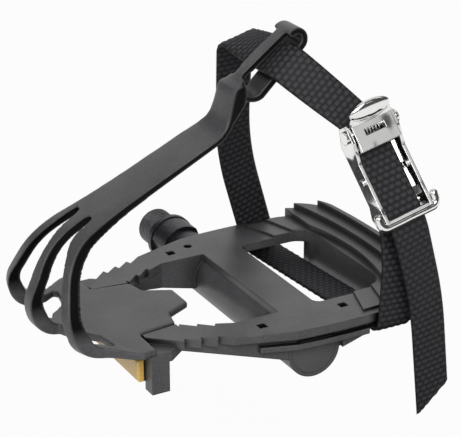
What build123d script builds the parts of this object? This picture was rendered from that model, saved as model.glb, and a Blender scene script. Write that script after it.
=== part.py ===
from build123d import *
import os
from math import atan2, cos, degrees, pi, radians, sin

# Left bicycle pedal with a moulded toe clip and a woven strap.
# X points forward to the toe, Y points outboard, Z points up, all in millimetres.
# The origin is on the spindle axis, at the shoulder that seats on the crank arm.

# Spindle
thread_diameter = 14.29
thread_length = 13.0
thread_lead_in = 1.2
flange_diameter = 18.4
flange_thickness = 2.2
flats_diameter = 17.6
flats_across = 15.0
flats_length = 10.0
flats_lean = 20.0
collar_diameter = 15.0
hex_key = 6.0
seal_land_diameter = 11.4
shaft_diameter = 9.2
tail_diameter = 7.0
keyway_width = 1.6
keyway_depth = 0.8

# Barrel and bearings
barrel_diameter = 19.8
barrel_length = 84.6
barrel_gap = 22.8
end_gap = 0.6
ball_diameter = 3.175
ball_count = 12
ball_rings = 6
ball_circle_diameter = 12.8
ball_clearance = 0.05
cup_outer_diameter = 17.2
cup_length = 5.6
cup_shaft_gap = 0.9
fit_gap = 0.02
running_gap = 0.06
bearing_inset = 6.0
outboard_inset = 14.0
shaft_tunnel_diameter = 13.0
cone_outer_diameter = 11.6
cone_length = 5.2
washer_diameter = 11.0
washer_thickness = 1.0
nut_across_flats = 11.0
nut_thickness = 3.6
cap_thickness = 1.6
cap_rim_length = 1.4
cap_wall = 1.2
seal_length = 3.0

# Moulded body
top_z = 10.0
plate_thickness = 3.2
half_width = 44.0
front_tip_x = 54.6
rear_x = -51.0
window_half_width = 27.0
window_corner = 7.0
rear_window_x = -37.0
web_front_x = 6.5
web_rear_x = -8.5
skirt_inset = 2.0
skirt_thickness = 2.4
inner_skirt_z = -4.0
rear_skirt_z = -3.0
cap_opening_gap = 0.5
rib_z = 2.8
rib_height = 2.2
rib_reach = 20.0
tooth_depth = 2.0
tooth_pitch = 5.4
tooth_count = 3
step_height = 0.8
terrace_height = 2.0
terrace_pitch = 4.4
terrace_start = 3.2
terrace_count = 3
terrace_radius = 90.0
pad_rim = 3.2
arch_base_z = 6.0
rear_wall_thickness = 6.6
rear_wall_bottom_z = -0.8
front_bar_rear_x = 40.0
front_bar_front_x = 57.1
front_bar_half_width = 32.0
front_bar_depth = 3.4
leg_length = 6.5
leg_width = 5.2
leg_bottom_z = -6.4
lens_wall_thickness = 5.0
pit_size = 3.0
pit_depth = 2.0

# Toe clip
clip_thickness = 2.4
clip_front_x = 87.6
clip_nose_z = 21.0
nose_thickness = 4.5
clip_hump_x = 15.5
clip_hump_z = 70.6
clip_sweep = 150.0
clip_yaw = 0.06
tongue_half_width = 17.6
tongue_gap = 0.8
tongue_rear_x = 30.0
tongue_tip_half_width = 5.7
wing_rear_x = 55.4
wing_half_width = 33.5
bar_width = 6.0
outer_bar_width = 4.4
bar_spread = 25.2
slot_rear_x = 66.2
slot_top_z = 47.5
band_half_width = 9.6
hump_half_width = 7.0
bar_lean = 3.0
ring_x = -4.0
ring_z = 90.2
ring_slope = 41.5
ring_length = 31.6
ring_front_radius = 5.7
ring_rear_radius = 4.4
ring_wall = 2.4
ring_width = 11.0
ring_top_width = 6.0

# Strap and buckle
strap_width = 14.0
strap_thickness = 1.8
strap_gap = 0.3
strap_side_gap = 1.0
strap_slot_gap = 0.9
strap_x = -28.5
strap_run_z = 3.6
strap_dip = 5.6
strap_in_ring = 3.0
strap_bed = -1.1
crest_x = -8.6
crest_y = -30.5
crest_z = 90.0
tail_z = -24.5
tail_slant = 33.0
buckle_x = -26.2
buckle_y = 40.5
buckle_z = 59.3
buckle_tilt = 11.0
frame_sheet = 1.2
cheek_gap = 8.2
pin_diameter = 2.6
pin_head_diameter = 4.6
pin_head_length = 1.0
pin_y = 16.0
pin_z = 4.2
bar_diameter = 3.0
bar_y = -16.0
rivet_diameter = 1.4
lever_side_gap = 0.4
roll_radius = 1.9
roll_reach = 5.2
hub_wall = 1.3
tab_lift = 42.0
spring_half_length = 3.6
spring_radius = 1.95
spring_wire = 0.6
spring_turns = 5
spring_steps = 12
spring_pitch = 1.2

# Reflectors
lens_thickness = 2.2
back_thickness = 2.0
front_lens_height = 8.2
rear_lens_height = 6.0
rear_lens_length = 40.0
rear_lens_depth = 4.6
seat_gap = 0.15

# Clip screws
screw_diameter = 4.0
screw_head_diameter = 7.6
screw_head_height = 2.4
screw_bite = 1.8
clip_washer_diameter = 9.0
clip_washer_thickness = 0.8
screw_spacing = 26.0

# Shared positions
mid_y = barrel_gap + half_width
barrel_end = barrel_gap + barrel_length
plate_bottom_z = top_z - plate_thickness
inboard_row_y = barrel_gap + bearing_inset
outboard_row_y = barrel_end - outboard_inset
ball_groove_radius = ball_diameter / 2 + ball_clearance
clip_seat_z = top_z + 0.4 - clip_thickness
front_bar_bottom_z = clip_seat_z - front_bar_depth


def polygon(*points):
    """Closed flat outline from corner points."""
    return make_face(Polyline(*points, close=True))


def mirrored(points):
    """Outline symmetric about the middle plane, from its outboard half."""
    other = [(x, -y) for x, y in reversed(points)]
    return make_face(Polyline(*points, *other, close=True))


def plan_prism(outline, low, high):
    """Plan outline, x and y from the middle plane, raised from low to high."""
    return Pos(0, mid_y, low) * extrude(outline, high - low)


def side_prism(outline, low, high):
    """Side outline in x and z, running in Y from low to high."""
    plane = Plane(origin=(0, high, 0), x_dir=(1, 0, 0), z_dir=(0, -1, 0))
    return plane * extrude(outline, high - low)


def front_prism(outline, low, high):
    """Front outline in y and z, running in X from low to high."""
    plane = Plane(origin=(low, mid_y, 0), x_dir=(0, 1, 0), z_dir=(1, 0, 0))
    return plane * extrude(outline, high - low)


def turned(*points):
    """Part turned about the spindle axis from (radius, y) corners."""
    return revolve(polygon(*points), Axis.Y)


def ring(outer, inner, low, high):
    """Plain turned ring about the spindle axis, by diameters."""
    return turned((inner / 2, low), (outer / 2, low), (outer / 2, high), (inner / 2, high))


def race(row_y):
    """Ball track around the spindle axis, a little larger than the balls."""
    return Pos(0, row_y, 0) * Rot(90, 0, 0) * Torus(ball_circle_diameter / 2, ball_groove_radius)


def both_sides(shape):
    """The shape and its mirror image across the middle plane."""
    return shape + mirror(shape, Plane.XZ.offset(-mid_y))


# Spindle, forged and turned in one piece with the inboard cone
r_thread = thread_diameter / 2
flats_end = flange_thickness + flats_length
land_end = inboard_row_y
shaft_end = outboard_row_y - ball_clearance * 8
tail_end = outboard_row_y + cone_length + washer_thickness + nut_thickness + 0.4
spindle = turned(
    (0, -thread_length),
    (r_thread - thread_lead_in, -thread_length),
    (r_thread, -thread_length + thread_lead_in),
    (r_thread, 0),
    (flange_diameter / 2, 0),
    (flange_diameter / 2, flange_thickness),
    (flats_diameter / 2, flange_thickness),
    (flats_diameter / 2, flats_end),
    (collar_diameter / 2, flats_end),
    (collar_diameter / 2, barrel_gap - end_gap),
    (seal_land_diameter / 2, barrel_gap - end_gap),
    (seal_land_diameter / 2, land_end),
    (shaft_diameter / 2, land_end),
    (shaft_diameter / 2, shaft_end),
    (tail_diameter / 2, shaft_end),
    (tail_diameter / 2, tail_end),
    (0, tail_end),
)
spindle -= race(inboard_row_y)
flat_block = Pos(0, flange_thickness + flats_length / 2, 0) * Rot(0, flats_lean, 0)
for side in (1, -1):
    cut_x = side * (flats_across / 2 + flange_diameter / 2)
    spindle -= flat_block * Pos(cut_x, 0, 0) * Box(flange_diameter, flats_length, 2 * flange_diameter)
hex_depth = thread_length / 2
hex_face = Plane(origin=(0, -thread_length, 0), x_dir=(1, 0, 0), z_dir=(0, 1, 0))
spindle -= hex_face * extrude(RegularPolygon(hex_key / 2, 6, major_radius=False), hex_depth)
keyway_low = outboard_row_y + cone_length - washer_thickness
keyway_z = tail_diameter / 2 - keyway_depth / 2
keyway = Pos(0, (keyway_low + tail_end) / 2 + 1, keyway_z)
spindle -= keyway * Box(keyway_width, tail_end - keyway_low + 2, keyway_depth)

# Bearings
# Each ball is a stack of ten-sided rings, which keeps the hidden rows light
ball_angles = [radians(180 / ball_rings * (k + 0.5)) for k in range(ball_rings)]
ball_stack = []
for angle in ball_angles:
    ball_ring = RegularPolygon(ball_diameter / 2 * sin(angle), 10)
    ball_stack.append(Pos(0, 0, ball_diameter / 2 * cos(angle)) * ball_ring)
ball_shape = loft(ball_stack, ruled=True)
balls = [
    Rot(0, 360 / ball_count * k, 0) * Pos(ball_circle_diameter / 2, 0, 0) * ball_shape
    for k in range(ball_count)
]
inboard_balls = [Pos(0, inboard_row_y, 0) * ball for ball in balls]
outboard_balls = [Pos(0, outboard_row_y, 0) * ball for ball in balls]
cup_bore = shaft_diameter + 2 * cup_shaft_gap
cup_lip = 0.2 * ball_diameter
cup_seat_in = inboard_row_y - cup_lip + cup_length
cup_seat_out = outboard_row_y + cup_lip - cup_length
inboard_cup = ring(cup_outer_diameter, cup_bore, inboard_row_y - cup_lip, cup_seat_in)
inboard_cup -= race(inboard_row_y)
outboard_cup = ring(cup_outer_diameter, cup_bore, cup_seat_out, outboard_row_y + cup_lip)
outboard_cup -= race(outboard_row_y)
cone_low = shaft_end + fit_gap
cone_high = outboard_row_y + cone_length
tail_bore = tail_diameter + 2 * fit_gap
outboard_cone = ring(cone_outer_diameter, tail_bore, cone_low, cone_high)
outboard_cone -= race(outboard_row_y)
washer_high = cone_high + washer_thickness
lock_washer = ring(washer_diameter, tail_bore, cone_high, washer_high)
tab_height = keyway_depth + fit_gap
tab_z = tail_diameter / 2 - keyway_depth + 2 * fit_gap + tab_height / 2
washer_tab = Pos(0, cone_high + washer_thickness / 2, tab_z)
lock_washer += washer_tab * Box(keyway_width - 0.2, washer_thickness, tab_height)
nut_plane = Plane(origin=(0, washer_high, 0), x_dir=(1, 0, 0), z_dir=(0, 1, 0))
nut_outline = RegularPolygon(nut_across_flats / 2, 6, major_radius=False) - Circle(tail_bore / 2)
lock_nut = nut_plane * extrude(nut_outline, nut_thickness)
cap_rim = cup_outer_diameter - 2 * cap_wall
dust_cap = turned(
    (0, barrel_end),
    (cup_outer_diameter / 2, barrel_end),
    (cup_outer_diameter / 2, barrel_end - cap_thickness - cap_rim_length),
    (cap_rim / 2, barrel_end - cap_thickness - cap_rim_length),
    (cap_rim / 2, barrel_end - cap_thickness),
    (0, barrel_end - cap_thickness),
)
seal_low = barrel_gap + end_gap
seal_bore = seal_land_diameter + 2 * running_gap
inboard_seal = ring(cup_outer_diameter, seal_bore, seal_low, seal_low + seal_length)

# Plan outline of the moulded body, widest beside the barrel
widest_x = -8.0
shoulder_x = 8.0
shoulder_y = half_width - 1.0
back_x = -28.0
back_y = half_width - 0.5
corner_x = -49.6
corner_y = 25.8
taper = 0.32


def taper_y(x):
    """Half width of the straight tapered sides."""
    return shoulder_y - taper * (x - shoulder_x)


tooth_front_x = front_tip_x - 2 * tooth_pitch + 0.8
outer_teeth = []
for k in range(tooth_count):
    peak_x = tooth_front_x - (tooth_count - 1 - k) * tooth_pitch
    outer_teeth.append((peak_x - 0.8, taper_y(peak_x) - tooth_depth))
    outer_teeth.append((peak_x, taper_y(peak_x)))
teeth_start_x = tooth_front_x - tooth_count * tooth_pitch
tip_outer_y = tongue_half_width + 4.4


def body_outline(front_points):
    """Plan face from the curved rear and sides, with the given front corners."""
    start = (teeth_start_x, taper_y(teeth_start_x))
    half = [
        ThreePointArc((rear_x, 0), (rear_x + 0.4, corner_y / 2), (corner_x, corner_y)),
        ThreePointArc((corner_x, corner_y), (-47.0, 34.2), (-41.2, 39.8)),
        ThreePointArc((-41.2, 39.8), (-35.4, 42.6), (back_x, back_y)),
        ThreePointArc((back_x, back_y), (widest_x, half_width), (shoulder_x, shoulder_y)),
        Line((shoulder_x, shoulder_y), start),
        Polyline(start, *front_points, (front_points[-1][0], 0)),
    ]
    edges = Curve() + half
    return make_face(Wire(edges.edges() + mirror(edges, Plane.XZ).edges()))


smooth_front = [(front_tip_x - 8, taper_y(front_tip_x - 8)), (front_tip_x, tip_outer_y)]
toothed_front = outer_teeth + [(front_tip_x, tip_outer_y)]
outline = body_outline(toothed_front)
smooth_outline = body_outline(smooth_front)

# Front window, open to the front for the clip's tongue, with toothed edges
rail_inner_y = tongue_half_width + tongue_gap
inner_teeth = []
for k in range(tooth_count):
    peak_x = tooth_front_x - (tooth_count - k) * tooth_pitch + 1.0
    peak_y = rail_inner_y + (tooth_front_x - tooth_pitch - peak_x) * 0.5 + 1.0
    inner_teeth.append((peak_x, peak_y))
    inner_teeth.append((peak_x + 0.9, peak_y + 0.7 * tooth_depth))
front_window = mirrored(
    [(web_front_x, window_half_width), (inner_teeth[0][0] - 6, window_half_width)]
    + inner_teeth
    + [(tooth_front_x - tooth_pitch + 2, rail_inner_y), (front_tip_x + 5, rail_inner_y + 2)]
)
rear_depth = web_rear_x - rear_window_x
rear_window = Pos((web_rear_x + rear_window_x) / 2, 0) * Rectangle(rear_depth, 2 * window_half_width)
rear_window = fillet(rear_window.vertices().group_by(Axis.X)[0], window_corner)
rear_window = fillet(rear_window.vertices().group_by(Axis.X)[-1], 3)

top_plate = plan_prism(outline - front_window - rear_window, plate_bottom_z, top_z)

# Side walls under the plate edge, their lower edges sloping up to front and rear
side_shape = polygon(
    (52, plate_bottom_z + 0.5),
    (9, -1.8),
    (4, -barrel_diameter / 2 + 2),
    (-4, -barrel_diameter / 2 + 2),
    (-9, -1.2),
    (-30, arch_base_z - 1.2),
    (-42, arch_base_z - 0.8),
    (-42, plate_bottom_z + 0.5),
)
side_view = side_prism(side_shape, 0, 2 * mid_y)
wall_outer = offset(smooth_outline, -skirt_inset)
wall_inner = offset(smooth_outline, -skirt_inset - skirt_thickness)
wall_band = plan_prism(wall_outer - wall_inner - front_window, -barrel_diameter, plate_bottom_z + 0.5)
side_walls = wall_band & side_view
rib_band = plan_prism(smooth_outline - wall_outer, rib_z, rib_z + rib_height)
rib_view = side_prism(Pos(0, rib_z) * Rectangle(2 * rib_reach, 4 * rib_height), 0, 2 * mid_y)
side_ribs = rib_band & rib_view

# Inner skirts along the front window's sides, deepest at the barrel
skirt_bend_x = inner_teeth[0][0] - 6
skirt_front_x = front_bar_rear_x - 0.5
skirt_front_y = rail_inner_y + 3.1
inner_skirt_plan = polygon(
    (web_front_x, window_half_width),
    (skirt_bend_x, window_half_width),
    (skirt_front_x, skirt_front_y),
    (skirt_front_x, skirt_front_y + skirt_thickness),
    (skirt_bend_x, window_half_width + skirt_thickness),
    (web_front_x, window_half_width + skirt_thickness),
)
inner_skirt_side = polygon(
    (web_front_x, plate_bottom_z + 0.5),
    (web_front_x, inner_skirt_z),
    (skirt_front_x, plate_bottom_z - skirt_thickness),
    (skirt_front_x, plate_bottom_z + 0.5),
)
inner_skirts = both_sides(plan_prism(inner_skirt_plan, inner_skirt_z, plate_bottom_z + 0.5))
inner_skirts &= side_prism(inner_skirt_side, 0, 2 * mid_y)

# Barrel across the middle, its crown planed into a flat web between the windows
barrel = ring(barrel_diameter, 0.0, barrel_gap, barrel_end)
web = side_prism(
    polygon(
        (web_front_x, 0),
        (web_front_x, top_z - 1.6),
        (web_front_x - 7.5, top_z - 0.3),
        (web_rear_x, top_z - 0.8),
        (web_rear_x, 0),
    ),
    mid_y - window_half_width - 0.5,
    mid_y + window_half_width + 0.5,
)

# Rear arch with saw-tooth terraces that follow the window's rear edge
behind_window = Pos(rear_window_x - 20, 0) * Rectangle(40, 4 * half_width)
arch_plan = (outline & behind_window) - rear_window
rear_arch = plan_prism(arch_plan, arch_base_z, top_z + 2 * step_height)
for k in range(terrace_count):
    front_x = rear_window_x - terrace_start - k * terrace_pitch
    radius = terrace_radius * (1 + k)
    front_disc = Pos(front_x + radius, 0) * Circle(radius)
    terrace = (outline & behind_window) - front_disc
    terrace_top = top_z + 2 * step_height + (k + 1) * terrace_height
    rear_arch += plan_prism(terrace, arch_base_z, terrace_top)
rear_wall_plan = (outline & behind_window) - offset(outline, -rear_wall_thickness)
rear_wall_plan &= Pos(corner_x, 0) * Rectangle(24, 2 * corner_y + 8)
rear_arch += plan_prism(rear_wall_plan, rear_wall_bottom_z, arch_base_z + 1)
rear_skirt_x = strap_x - strap_width / 2 - strap_slot_gap
rear_skirt_plan = offset(rear_window, skirt_thickness) - rear_window
rear_skirt_plan &= Pos(rear_skirt_x - 10, 0) * Rectangle(20, 4 * half_width)
rear_arch += plan_prism(rear_skirt_plan, rear_skirt_z, arch_base_z + 1)

# Two raised pads on each rail, inside a plain outer rim
pads = None
pad_zone = offset(smooth_outline, -pad_rim) - rear_window
for level, (inner_x, outer_x) in enumerate(((-25.9, -20.3), (-32.9, -28.3)), start=1):
    behind_line = polygon((inner_x, 21), (outer_x, 37.5), (outer_x + 3, 46), (-60, 46), (-60, 21))
    pad = plan_prism(pad_zone & behind_line, plate_bottom_z, top_z + level * step_height)
    pads = pad if pads is None else pads + pad
pads = both_sides(pads)

# Front bar that carries the clip, with two legs that hold the front reflector
front_bar = plan_prism(
    mirrored(
        [
            (front_bar_rear_x, rail_inner_y + 6),
            (front_bar_front_x - leg_length - 1, front_bar_half_width),
            (front_bar_front_x, front_bar_half_width),
        ]
    ),
    front_bar_bottom_z,
    clip_seat_z,
)
leg_plan = Pos(front_bar_front_x - leg_length / 2, front_bar_half_width - leg_width / 2)
legs = both_sides(plan_prism(leg_plan * Rectangle(leg_length, leg_width), leg_bottom_z, clip_seat_z))
lens_half_length = front_bar_half_width - leg_width - seat_gap
lens_wall_x = front_bar_front_x - leg_length + lens_wall_thickness
lens_low_z = front_bar_bottom_z - front_lens_height
lens_wall = Pos(lens_wall_x - lens_wall_thickness / 2, 0)
lens_wall *= Rectangle(lens_wall_thickness, 2 * front_bar_half_width - leg_width)
front_wall = plan_prism(lens_wall, lens_low_z, clip_seat_z)

pedal_body = top_plate + side_walls + side_ribs + inner_skirts + barrel + web + rear_arch + pads
pedal_body += front_bar + legs + front_wall

# Bores for the bearings and the spindle
mouth = 2.0
pedal_body -= ring(shaft_tunnel_diameter, 0.0, 0, barrel_end + mouth)
pedal_body -= ring(cup_outer_diameter + 2 * fit_gap, 0.0, 0, cup_seat_in)
pedal_body -= ring(cup_outer_diameter + 2 * fit_gap, 0.0, cup_seat_out, barrel_end + mouth)
pedal_body -= ring(2 * barrel_diameter, 0.0, 0, barrel_gap) & side_view
cap_opening = ring(barrel_diameter + 2 * cap_opening_gap, 0.0, barrel_end, mid_y + 2 * half_width)
pedal_body -= cap_opening & plan_prism(Rectangle(4 * half_width, 4 * half_width), -barrel_diameter, rib_z)

# Slots through the side walls for the strap, and pits in the rails
slot_width = strap_width + 2 * strap_slot_gap
slot_height = strap_thickness + 2 * strap_slot_gap
run_y = half_width + strap_thickness / 2 + strap_side_gap
strap_rise = degrees(atan2(strap_dip, 2 * run_y))
slot_place = Pos(strap_x, mid_y, strap_run_z - strap_dip / 2) * Rot(strap_rise, 0, 0)
slot = slot_place * Box(slot_width, 4 * half_width, slot_height)
pedal_body -= slot
for x, y in ((16.5, 33.5), (16.5, -33.5), (-15.7, 33.0)):
    pedal_body -= Pos(x, mid_y + y, top_z) * Box(pit_size, pit_size, 2 * pit_depth)
pedal_body -= Pos(8.2, mid_y - 35.8, top_z) * Cylinder(pit_size / 2, 2 * pit_depth)

# Pocket in the rear wall for the rear reflector
rear_lens_z = rear_wall_bottom_z + 1.2 + rear_lens_height / 2
rear_seat_x = rear_x + rear_lens_depth
pocket = Pos(rear_seat_x - 10, mid_y, rear_lens_z)
pedal_body -= pocket * Box(20, rear_lens_length + 2 * seat_gap, rear_lens_height + 2 * seat_gap)

# Screw holes in the front bar
screw_x = front_bar_rear_x + screw_head_diameter / 2 + 0.4
screw_places = [(screw_x, mid_y + side * screw_spacing / 2) for side in (1, -1)]
for x, y in screw_places:
    pedal_body -= Pos(x, y, clip_seat_z) * Cylinder(screw_diameter / 2 + fit_gap, 4 * front_bar_depth)

# Toe clip: a plate, three bars that curve up over the toe, a band and a strap ring
clip_start = (tongue_rear_x - 14, clip_seat_z)
clip_outer = FilletPolyline(
    clip_start,
    (clip_front_x - 3.1, clip_seat_z),
    (clip_front_x, clip_nose_z),
    (clip_front_x - 9.8, clip_nose_z + 20),
    (clip_hump_x, clip_hump_z),
    (clip_hump_x - 3.5, clip_hump_z + 14.4),
    radius=[10, 12, 30, 9],
)
plate_top_z = clip_seat_z + clip_thickness
clip_inner = FilletPolyline(
    (tongue_rear_x - 14, plate_top_z),
    (slot_rear_x + 4, plate_top_z),
    (clip_front_x - 8, plate_top_z + 2.2),
    (clip_front_x - nose_thickness, clip_nose_z + 0.5),
    (clip_front_x - 12.4, clip_nose_z + 17.6),
    (clip_hump_x + 1, clip_hump_z - 2.5),
    (clip_hump_x - 7.9, clip_hump_z + 7.4),
    (clip_hump_x - 9.3, clip_hump_z + 14.4),
    radius=[12, 5, 9, 26, 10, 8],
)
clip_ends = [
    Line(clip_outer.position_at(0), clip_inner.position_at(0)),
    Line(clip_outer.position_at(1), clip_inner.position_at(1)),
]
clip_side = make_face(Curve() + [clip_outer, clip_inner] + clip_ends)
clip_sections = []
for k in range(-2, 3):
    y = k * (wing_half_width + 2) / 2
    shift = -clip_yaw * y - y * y / clip_sweep
    place = Plane(origin=(shift, mid_y + y, 0), x_dir=(1, 0, 0), z_dir=(0, -1, 0))
    clip_sections.append(place * clip_side)
clip_sheet = loft(clip_sections)

# Plan shape of the clip's plate: stepped tongue, wings and the slots between the bars
clip_plan = mirrored(
    [
        (tongue_rear_x, tongue_tip_half_width),
        (tongue_rear_x + 9.5, tongue_tip_half_width + 4.8),
        (tongue_rear_x + 11, tongue_half_width),
        (wing_rear_x - 0.8, tongue_half_width + 2),
        (wing_rear_x, tongue_half_width + 3),
        (wing_rear_x, wing_half_width - 1),
        (wing_rear_x + 5, wing_half_width),
        (wing_rear_x + 9, wing_half_width - 2.7),
        (wing_rear_x + 12.5, bar_spread + 2.5),
        (wing_rear_x + 15.5, bar_spread + 0.6),
        (wing_rear_x + 20, bar_spread),
        (clip_front_x + 10, bar_spread),
    ]
)
slot_inner = bar_width / 2
slot_outer = bar_spread - outer_bar_width
plan_slot = polygon(
    (slot_rear_x + 10.8, slot_inner),
    (clip_front_x + 10, slot_inner),
    (clip_front_x + 10, slot_outer),
    (slot_rear_x + 9, slot_outer),
    (slot_rear_x + 4.8, slot_outer + 0.8),
    (slot_rear_x + 1, bar_spread - 1),
    (slot_rear_x, bar_spread - 2.4),
    (slot_rear_x + 1.5, slot_outer - 6.0),
    (slot_rear_x + 9.2, slot_inner + 3.5),
)
lower_plan = clip_plan - plan_slot - mirror(plan_slot, Plane.XZ)
split_z = plate_top_z + 3.6
clip_lower = clip_sheet & plan_prism(lower_plan, -10, split_z)

# Front shape of the clip above the plate: three bars that lean inboard and merge into one band


def band_edge(side):
    """Outer edge of the bars and the band on one side, from the plate up."""
    lean = 0.5 * bar_lean
    return Spline(
        (side * bar_spread, split_z - 1),
        (side * (bar_spread - 0.5), 18.5),
        (side * (bar_spread - 4.3) - 0.4 * lean, 28),
        (side * (bar_spread - 9.6) - 0.8 * lean, 38),
        (side * (band_half_width + 1.5) - lean, 47),
        (side * band_half_width - 0.7 * lean, 56),
        (side * (band_half_width - 0.5) - 0.5 * lean, 67),
        (side * hump_half_width, clip_hump_z + 20),
        tangents=[(0, 1), (0, 1)],
    )


def bar_slot(side):
    """Gap between the middle bar and one outer bar, its closed top leaning inboard."""
    outer_edge = Spline(
        (side * slot_outer, split_z - 1),
        (side * (slot_outer - 0.7), 18.5),
        (side * (slot_outer - 5.2) - 0.1 * bar_lean, 28),
        (side * (slot_outer - 10.4) - 0.4 * bar_lean, 38),
        (side * (slot_inner + 3.2) - 0.9 * bar_lean, 45),
        (side * (slot_inner + 1.6) - bar_lean, slot_top_z),
        tangents=[(0, 1), (-side, 0.4)],
    )
    inner_edge = Polyline(
        outer_edge.position_at(1),
        (side * (slot_inner + 0.2) - bar_lean, slot_top_z - 0.8),
        (side * (slot_inner - 0.7) - 0.5 * bar_lean, 38),
        (side * slot_inner - 0.1 * bar_lean, 29),
        (side * slot_inner, 24),
        (side * slot_inner, split_z - 1),
        outer_edge.position_at(0),
    )
    return make_face(Curve() + [outer_edge, inner_edge])


right_edge = band_edge(1)
left_edge = band_edge(-1)
band_top = Line(right_edge.position_at(1), left_edge.position_at(1))
band_bottom = Line(left_edge.position_at(0), right_edge.position_at(0))
band_face = make_face(Curve() + [right_edge, band_top, left_edge, band_bottom])
upper_view = front_prism(band_face - bar_slot(1) - bar_slot(-1), -10, clip_front_x + 20)
above_split = Pos(0, mid_y, split_z + 100) * Box(400, 400, 200)
clip_upper = clip_sheet & upper_view & above_split

# Strap ring at the end of the band, tapering to the rear, with a narrow upper bar
ring_place = Pos(ring_x, ring_z) * Rot(0, 0, -ring_slope)
ring_front = Pos(ring_length / 2 - ring_front_radius, 0) * Circle(ring_front_radius)
ring_rear = Pos(ring_rear_radius - ring_length / 2, -0.4) * Circle(ring_rear_radius)
ring_hull = make_hull(ring_front.edges() + ring_rear.edges())
ring_outer = ring_place * ring_hull
ring_inner = ring_place * offset(ring_hull, -ring_wall)
ring_low = mid_y - ring_width / 2
ring_high = mid_y + ring_width / 2
clip_ring = side_prism(ring_outer - ring_inner, ring_low, ring_high)
bar_cut_length = ring_length - ring_front_radius - ring_rear_radius
bar_cut = ring_place * Pos(0, ring_front_radius) * Rectangle(bar_cut_length, 2 * ring_front_radius - 1)
for low, high in ((ring_low, mid_y - ring_top_width / 2), (mid_y + ring_top_width / 2, ring_high)):
    clip_ring -= side_prism(bar_cut, low, high)
clip_upper -= side_prism(ring_inner, 0, 2 * mid_y)
toe_clip = clip_lower + clip_upper + clip_ring
for x, y in screw_places:
    toe_clip -= Pos(x, y, clip_seat_z) * Cylinder(screw_diameter / 2 + fit_gap, 2 * screw_bite)

# Clip screws and washers, put in from below
washer_z = front_bar_bottom_z - clip_washer_thickness
clip_screws = []
clip_washers = []
for x, y in screw_places:
    shank_top = clip_seat_z + screw_bite - 0.2
    shank_length = shank_top - washer_z
    shank = Pos(x, y, (shank_top + washer_z) / 2) * Cylinder(screw_diameter / 2, shank_length)
    head = Pos(x, y, washer_z - screw_head_height / 2) * Cylinder(screw_head_diameter / 2, screw_head_height)
    recess = Pos(x, y, washer_z - screw_head_height) * Rot(0, 0, 45)
    cross = Box(1.0, 4.0, 2.4) + Box(4.0, 1.0, 2.4)
    clip_screws.append(shank + head - recess * cross)
    disc = Cylinder(clip_washer_diameter / 2, clip_washer_thickness)
    disc -= Cylinder(screw_diameter / 2 + 0.2, 2 * clip_washer_thickness)
    clip_washers.append(Pos(x, y, washer_z + clip_washer_thickness / 2) * disc)

# Reflectors: a clear prism lens welded to a tray, one in front and one behind
front_lens_z = front_bar_bottom_z - front_lens_height / 2
tray_x = lens_wall_x + back_thickness / 2
lens_x = lens_wall_x + back_thickness + lens_thickness / 2
lens_height = front_lens_height - 2 * seat_gap
front_reflector_back = Pos(tray_x, mid_y, front_lens_z) * Box(back_thickness, 2 * lens_half_length, lens_height)
front_reflector_lens = Pos(lens_x, mid_y, front_lens_z) * Box(lens_thickness, 2 * lens_half_length, lens_height)
front_reflector_lens = chamfer(front_reflector_lens.edges().group_by(Axis.X)[-1], 0.6)
rear_tray_x = rear_seat_x - back_thickness / 2
rear_lens_x = rear_seat_x - back_thickness - lens_thickness / 2
rear_reflector_back = Pos(rear_tray_x, mid_y, rear_lens_z) * Box(back_thickness, rear_lens_length, rear_lens_height)
rear_reflector_lens = Pos(rear_lens_x, mid_y, rear_lens_z) * Box(lens_thickness, rear_lens_length, rear_lens_height)
rear_reflector_lens = chamfer(rear_reflector_lens.edges().group_by(Axis.X)[0], 0.6)

# Buckle frame of reference: x rearward across the strap, y up the strap, z outward
buckle_down = Vector(-0.196, 0.521, -0.83).normalized()
buckle_across = Vector(-cos(radians(buckle_tilt)), 0, sin(radians(buckle_tilt)))
buckle_across = (buckle_across - buckle_down * buckle_across.dot(buckle_down)).normalized()
buckle_out = buckle_down.cross(buckle_across)
buckle_centre = Vector(buckle_x, mid_y + buckle_y, buckle_z)
buckle_plane = Plane(origin=buckle_centre, x_dir=buckle_across, z_dir=buckle_out)


def across_bar(radius, y, z, half_length):
    """Round bar that lies across the strap, in buckle coordinates."""
    return Pos(0, y, z) * Rot(0, 90, 0) * Cylinder(radius, 2 * half_length)


def cheek_plate(outline, start, thickness):
    """Sheet profile in buckle y and z, from start outward, on both sides."""
    plane = Plane(origin=(start, 0, 0), x_dir=(0, 1, 0), z_dir=(1, 0, 0))
    plate = plane * extrude(outline, thickness)
    return plate + mirror(plate, Plane.YZ)


# Buckle frame, bent from steel sheet with two round cross bars
strap_top = strap_thickness / 2
frame_half = cheek_gap + frame_sheet
bar_z = strap_top + strap_gap + bar_diameter / 2 + 0.2
back_bar_z = -strap_top - bar_diameter / 2 - 0.6
base_z = -strap_top - strap_gap - frame_sheet / 2
cheek = polygon(
    (pin_y - 2, base_z - frame_sheet / 2),
    (pin_y + 3.4, pin_z - 2.6),
    (pin_y + 3.4, pin_z + 1),
    (pin_y + 2.2, pin_z + 2.4),
    (pin_y - 2.8, pin_z + 2.4),
    (pin_y - 10, bar_z + 1.0),
    (bar_y, bar_z + bar_diameter / 2),
    (bar_y - bar_diameter / 2, bar_z),
    (bar_y, back_bar_z),
    (bar_y + 4, back_bar_z - bar_diameter / 2),
    (bar_y + 8, base_z - frame_sheet / 2),
)
buckle_frame = cheek_plate(cheek, cheek_gap, frame_sheet)
base_length = pin_y - 4 - (bar_y + 8)
base_middle = (pin_y - 4 + bar_y + 8) / 2
base_plate = Pos(0, base_middle, base_z) * Box(2 * frame_half, base_length, frame_sheet)
base_plate -= Pos(0, base_middle, base_z) * Box(cheek_gap, base_length / 2, 2 * frame_sheet)
buckle_frame += base_plate
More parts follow.
